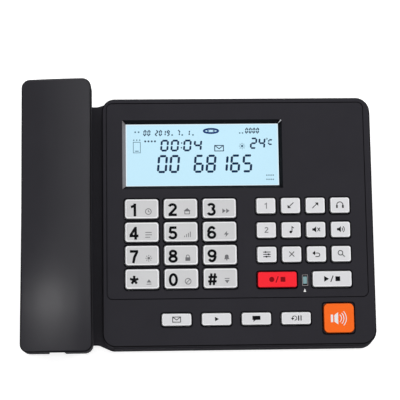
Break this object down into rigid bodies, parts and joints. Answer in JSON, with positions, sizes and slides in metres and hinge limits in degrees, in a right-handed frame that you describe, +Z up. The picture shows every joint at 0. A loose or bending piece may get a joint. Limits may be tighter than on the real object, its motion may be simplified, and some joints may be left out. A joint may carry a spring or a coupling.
{
  "type": "corded desk telephone with answering keys",
  "caption": "Black corded desk telephone and answering machine with a lit display, light keys, a red record key, an orange hands-free key and its handset in the cradle.",
  "frame": {"origin": "centre of the telephone's footprint, on the desk under its rubber feet", "axes": "+X to the right as the user sees it, +Y away from the user, +Z up. The face slopes up towards +Y by 9 degrees and the handset lies at the left, at -X."},
  "size_m": [0.247, 0.191, 0.0619],
  "materials": {
    "housing_plastic": "fine spark-eroded texture, near black",
    "handset_plastic": "satin, near black",
    "number_key_plastic": "satin, light grey",
    "function_key_plastic": "satin, off-white",
    "record_key_plastic": "satin red",
    "hands_free_key_plastic": "satin orange",
    "display_window": "clear",
    "display_glass": "lit pale blue with dark segments",
    "display_backlight": "white diffuser",
    "indicator_lens": "translucent grey",
    "circuit_laminate": "green solder resist",
    "key_mat_rubber": "translucent grey silicone",
    "foot_rubber": "dull black",
    "loudspeaker_steel": "dark painted basket",
    "capsule_metal": "satin",
    "socket_plastic": "smooth black",
    "screw_steel": "zinc plated",
    "contact_steel": "nickel plated",
    "cell_jacket": "plain coloured jacket",
    "weight_steel": "bare"
  },
  "bodies": {
    "root": {"upper_housing": "housing_plastic", "lower_housing": "housing_plastic", "face_panel": "housing_plastic", "lcd_window": "display_window", "lcd_glass": "display_glass", "lcd_backlight": "display_backlight", "indicator_window": "indicator_lens", "circuit_board": "circuit_laminate", "key_mat": "key_mat_rubber", "loudspeaker": "loudspeaker_steel", "hands_free_microphone": "capsule_metal", "hook_switch": "socket_plastic", "board_screws": "screw_steel", "case_screws": "screw_steel", "rubber_feet": "foot_rubber", "line_jack": "socket_plastic", "handset_jack": "socket_plastic", "earphone_jack": "socket_plastic", "battery_cells": "cell_jacket", "battery_contacts": "contact_steel"},
    "key_1": {"key_1": "number_key_plastic"},
    "key_2": {"key_2": "number_key_plastic"},
    "key_3": {"key_3": "number_key_plastic"},
    "key_4": {"key_4": "number_key_plastic"},
    "key_5": {"key_5": "number_key_plastic"},
    "key_6": {"key_6": "number_key_plastic"},
    "key_7": {"key_7": "number_key_plastic"},
    "key_8": {"key_8": "number_key_plastic"},
    "key_9": {"key_9": "number_key_plastic"},
    "key_star": {"key_star": "number_key_plastic"},
    "key_0": {"key_0": "number_key_plastic"},
    "key_hash": {"key_hash": "number_key_plastic"},
    "memory_1_key": {"memory_1_key": "function_key_plastic"},
    "incoming_key": {"incoming_key": "function_key_plastic"},
    "outgoing_key": {"outgoing_key": "function_key_plastic"},
    "earphone_key": {"earphone_key": "function_key_plastic"},
    "memory_2_key": {"memory_2_key": "function_key_plastic"},
    "music_key": {"music_key": "function_key_plastic"},
    "mute_key": {"mute_key": "function_key_plastic"},
    "volume_key": {"volume_key": "function_key_plastic"},
    "setup_key": {"setup_key": "function_key_plastic"},
    "cancel_key": {"cancel_key": "function_key_plastic"},
    "callback_key": {"callback_key": "function_key_plastic"},
    "query_key": {"query_key": "function_key_plastic"},
    "record_key": {"record_key": "record_key_plastic"},
    "record_play_key": {"record_play_key": "function_key_plastic"},
    "leave_message_key": {"leave_message_key": "function_key_plastic"},
    "message_play_key": {"message_play_key": "function_key_plastic"},
    "owner_message_key": {"owner_message_key": "function_key_plastic"},
    "redial_key": {"redial_key": "function_key_plastic"},
    "hands_free_key": {"hands_free_key": "hands_free_key_plastic"},
    "handset": {"handset_outer_shell": "handset_plastic", "handset_inner_shell": "handset_plastic", "earpiece_capsule": "capsule_metal", "mouthpiece_capsule": "capsule_metal", "handset_weight": "weight_steel", "handset_cord_socket": "socket_plastic", "handset_screws": "screw_steel"},
    "hook_plunger": {"hook_plunger": "housing_plastic"},
    "battery_door": {"battery_door": "housing_plastic"}
  },
  "joints": [
    {"name": "handset_lift", "type": "slide", "parent": "root", "child": "handset", "axis": [0, -0.1564, 0.9877], "range_m": [0, 0.12]},
    {"name": "hook_plunger_rise", "type": "slide", "parent": "root", "child": "hook_plunger", "axis": [0, -0.1564, 0.9877], "range_m": [0, 0.004]},
    {"name": "battery_door_slide", "type": "slide", "parent": "root", "child": "battery_door", "axis": [0, 1, 0], "range_m": [0, 0.065]},
    {"name": "key_1_press", "type": "slide", "parent": "root", "child": "key_1", "axis": [0, 0.1564, -0.9877], "range_m": [0, 0.001], "stiffness_N_per_m": 400, "springref_m": -0.001},
    {"name": "key_2_press", "type": "slide", "parent": "root", "child": "key_2", "axis": [0, 0.1564, -0.9877], "range_m": [0, 0.001], "stiffness_N_per_m": 400, "springref_m": -0.001},
    {"name": "key_3_press", "type": "slide", "parent": "root", "child": "key_3", "axis": [0, 0.1564, -0.9877], "range_m": [0, 0.001], "stiffness_N_per_m": 400, "springref_m": -0.001},
    {"name": "key_4_press", "type": "slide", "parent": "root", "child": "key_4", "axis": [0, 0.1564, -0.9877], "range_m": [0, 0.001], "stiffness_N_per_m": 400, "springref_m": -0.001},
    {"name": "key_5_press", "type": "slide", "parent": "root", "child": "key_5", "axis": [0, 0.1564, -0.9877], "range_m": [0, 0.001], "stiffness_N_per_m": 400, "springref_m": -0.001},
    {"name": "key_6_press", "type": "slide", "parent": "root", "child": "key_6", "axis": [0, 0.1564, -0.9877], "range_m": [0, 0.001], "stiffness_N_per_m": 400, "springref_m": -0.001},
    {"name": "key_7_press", "type": "slide", "parent": "root", "child": "key_7", "axis": [0, 0.1564, -0.9877], "range_m": [0, 0.001], "stiffness_N_per_m": 400, "springref_m": -0.001},
    {"name": "key_8_press", "type": "slide", "parent": "root", "child": "key_8", "axis": [0, 0.1564, -0.9877], "range_m": [0, 0.001], "stiffness_N_per_m": 400, "springref_m": -0.001},
    {"name": "key_9_press", "type": "slide", "parent": "root", "child": "key_9", "axis": [0, 0.1564, -0.9877], "range_m": [0, 0.001], "stiffness_N_per_m": 400, "springref_m": -0.001},
    {"name": "key_star_press", "type": "slide", "parent": "root", "child": "key_star", "axis": [0, 0.1564, -0.9877], "range_m": [0, 0.001], "stiffness_N_per_m": 400, "springref_m": -0.001},
    {"name": "key_0_press", "type": "slide", "parent": "root", "child": "key_0", "axis": [0, 0.1564, -0.9877], "range_m": [0, 0.001], "stiffness_N_per_m": 400, "springref_m": -0.001},
    {"name": "key_hash_press", "type": "slide", "parent": "root", "child": "key_hash", "axis": [0, 0.1564, -0.9877], "range_m": [0, 0.001], "stiffness_N_per_m": 400, "springref_m": -0.001},
    {"name": "memory_1_key_press", "type": "slide", "parent": "root", "child": "memory_1_key", "axis": [0, 0.1564, -0.9877], "range_m": [0, 0.001], "stiffness_N_per_m": 400, "springref_m": -0.001},
    {"name": "incoming_key_press", "type": "slide", "parent": "root", "child": "incoming_key", "axis": [0, 0.1564, -0.9877], "range_m": [0, 0.001], "stiffness_N_per_m": 400, "springref_m": -0.001},
    {"name": "outgoing_key_press", "type": "slide", "parent": "root", "child": "outgoing_key", "axis": [0, 0.1564, -0.9877], "range_m": [0, 0.001], "stiffness_N_per_m": 400, "springref_m": -0.001},
    {"name": "earphone_key_press", "type": "slide", "parent": "root", "child": "earphone_key", "axis": [0, 0.1564, -0.9877], "range_m": [0, 0.001], "stiffness_N_per_m": 400, "springref_m": -0.001},
    {"name": "memory_2_key_press", "type": "slide", "parent": "root", "child": "memory_2_key", "axis": [0, 0.1564, -0.9877], "range_m": [0, 0.001], "stiffness_N_per_m": 400, "springref_m": -0.001},
    {"name": "music_key_press", "type": "slide", "parent": "root", "child": "music_key", "axis": [0, 0.1564, -0.9877], "range_m": [0, 0.001], "stiffness_N_per_m": 400, "springref_m": -0.001},
    {"name": "mute_key_press", "type": "slide", "parent": "root", "child": "mute_key", "axis": [0, 0.1564, -0.9877], "range_m": [0, 0.001], "stiffness_N_per_m": 400, "springref_m": -0.001},
    {"name": "volume_key_press", "type": "slide", "parent": "root", "child": "volume_key", "axis": [0, 0.1564, -0.9877], "range_m": [0, 0.001], "stiffness_N_per_m": 400, "springref_m": -0.001},
    {"name": "setup_key_press", "type": "slide", "parent": "root", "child": "setup_key", "axis": [0, 0.1564, -0.9877], "range_m": [0, 0.001], "stiffness_N_per_m": 400, "springref_m": -0.001},
    {"name": "cancel_key_press", "type": "slide", "parent": "root", "child": "cancel_key", "axis": [0, 0.1564, -0.9877], "range_m": [0, 0.001], "stiffness_N_per_m": 400, "springref_m": -0.001},
    {"name": "callback_key_press", "type": "slide", "parent": "root", "child": "callback_key", "axis": [0, 0.1564, -0.9877], "range_m": [0, 0.001], "stiffness_N_per_m": 400, "springref_m": -0.001},
    {"name": "query_key_press", "type": "slide", "parent": "root", "child": "query_key", "axis": [0, 0.1564, -0.9877], "range_m": [0, 0.001], "stiffness_N_per_m": 400, "springref_m": -0.001},
    {"name": "record_key_press", "type": "slide", "parent": "root", "child": "record_key", "axis": [0, 0.1564, -0.9877], "range_m": [0, 0.001], "stiffness_N_per_m": 400, "springref_m": -0.001},
    {"name": "record_play_key_press", "type": "slide", "parent": "root", "child": "record_play_key", "axis": [0, 0.1564, -0.9877], "range_m": [0, 0.001], "stiffness_N_per_m": 400, "springref_m": -0.001},
    {"name": "leave_message_key_press", "type": "slide", "parent": "root", "child": "leave_message_key", "axis": [0, 0.1564, -0.9877], "range_m": [0, 0.001], "stiffness_N_per_m": 400, "springref_m": -0.001},
    {"name": "message_play_key_press", "type": "slide", "parent": "root", "child": "message_play_key", "axis": [0, 0.1564, -0.9877], "range_m": [0, 0.001], "stiffness_N_per_m": 400, "springref_m": -0.001},
    {"name": "owner_message_key_press", "type": "slide", "parent": "root", "child": "owner_message_key", "axis": [0, 0.1564, -0.9877], "range_m": [0, 0.001], "stiffness_N_per_m": 400, "springref_m": -0.001},
    {"name": "redial_key_press", "type": "slide", "parent": "root", "child": "redial_key", "axis": [0, 0.1564, -0.9877], "range_m": [0, 0.001], "stiffness_N_per_m": 400, "springref_m": -0.001},
    {"name": "hands_free_key_press", "type": "slide", "parent": "root", "child": "hands_free_key", "axis": [0, 0.1564, -0.9877], "range_m": [0, 0.001], "stiffness_N_per_m": 400, "springref_m": -0.001}
  ],
  "couplings": [
    {"joint": "hook_plunger_rise", "follows": "handset_lift", "ratio": 0.0333}
  ]
}
